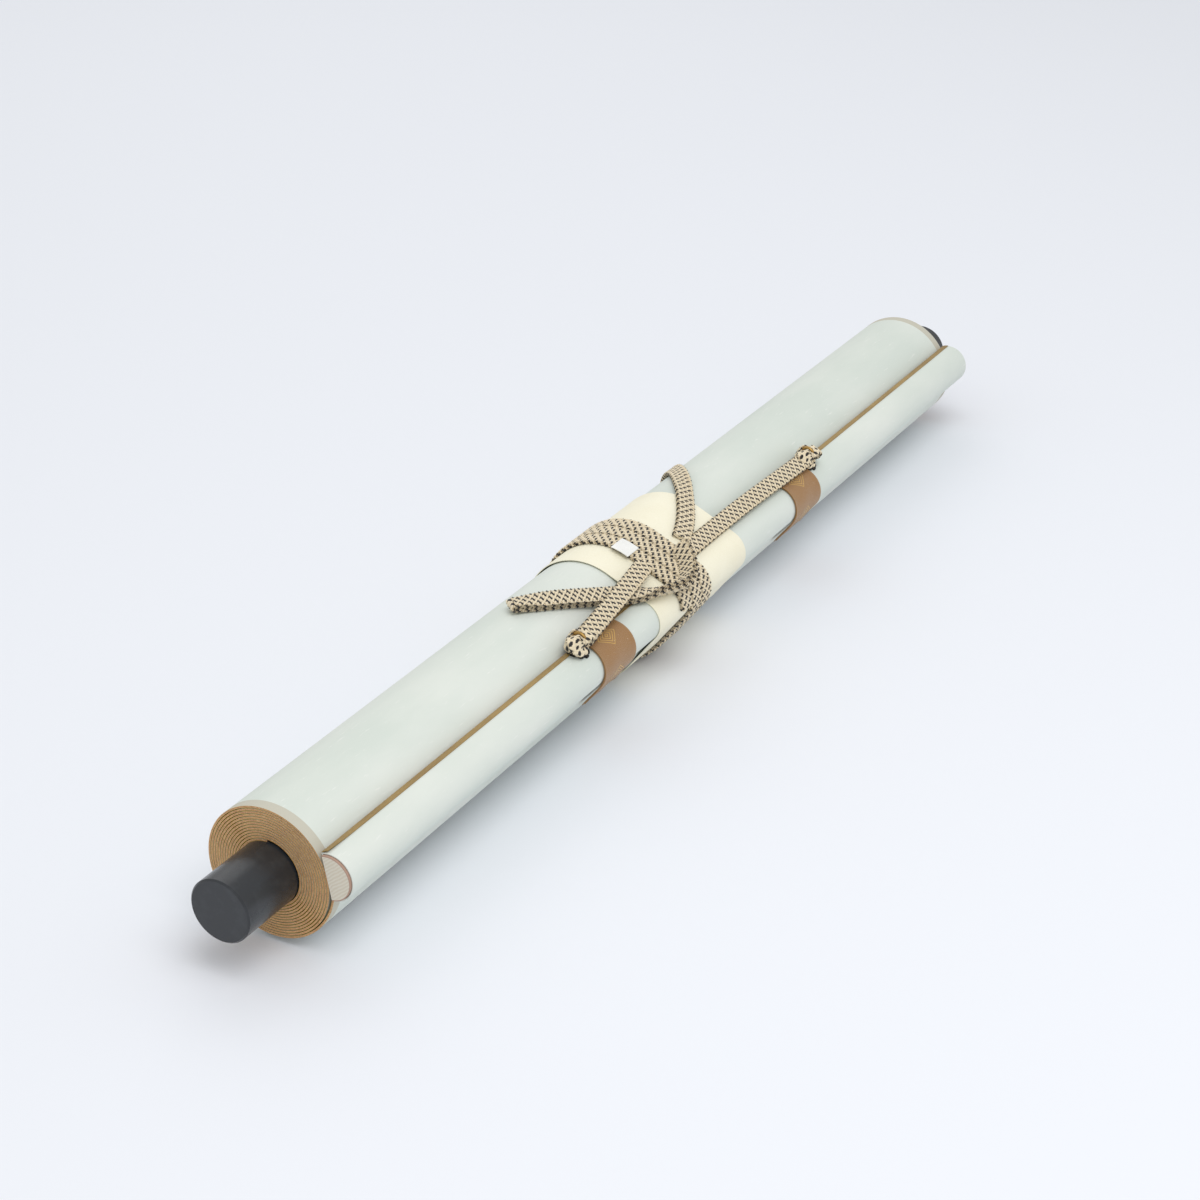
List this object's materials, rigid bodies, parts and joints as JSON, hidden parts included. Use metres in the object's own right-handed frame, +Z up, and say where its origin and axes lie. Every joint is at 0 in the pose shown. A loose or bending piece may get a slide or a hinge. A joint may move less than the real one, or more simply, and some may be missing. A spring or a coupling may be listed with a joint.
{
  "type": "hanging scroll",
  "caption": "Rolled hanging scroll: paper-backed sheet on a roller with black knobs, half-round stave, ribbons and a flat braided cord tied round a card band.",
  "frame": {"origin": "middle of the object along the roller and across it, on the plane it lies on, without the loose cord", "axes": "+X along the roller, +Z up, the stave lies on the -Y side of the roll"},
  "size_m": [0.647, 0.0739, 0.0636],
  "materials": {
    "mounting_sheet": "matt paper backing",
    "stave_wood": "planed pale wood",
    "roller_wood": "light softwood",
    "knob_lacquer": "satin black",
    "eyelet_metal": "aged",
    "washer_metal": "dark",
    "ribbon_cloth": "brown figured cloth",
    "band_card": "cream card",
    "braid": "flat braid",
    "tape": "white paper tape"
  },
  "bodies": {
    "root": {"scroll_sheet": "mounting_sheet", "stave": "stave_wood", "roller_core": "roller_wood", "left_knob": "knob_lacquer", "right_knob": "knob_lacquer", "left_eyelet": "eyelet_metal", "right_eyelet": "eyelet_metal", "left_washer": "washer_metal", "right_washer": "washer_metal", "left_ribbon": "ribbon_cloth", "right_ribbon": "ribbon_cloth", "paper_band": "band_card", "wrapping_cord_winding": "braid", "wrapping_cord_bight": "braid", "wrapping_cord_tail": "braid", "hanging_cord_left": "braid", "hanging_cord_right": "braid", "left_cord_knot": "braid", "right_cord_knot": "braid", "cord_end_tape": "tape"}
  },
  "joints": []
}
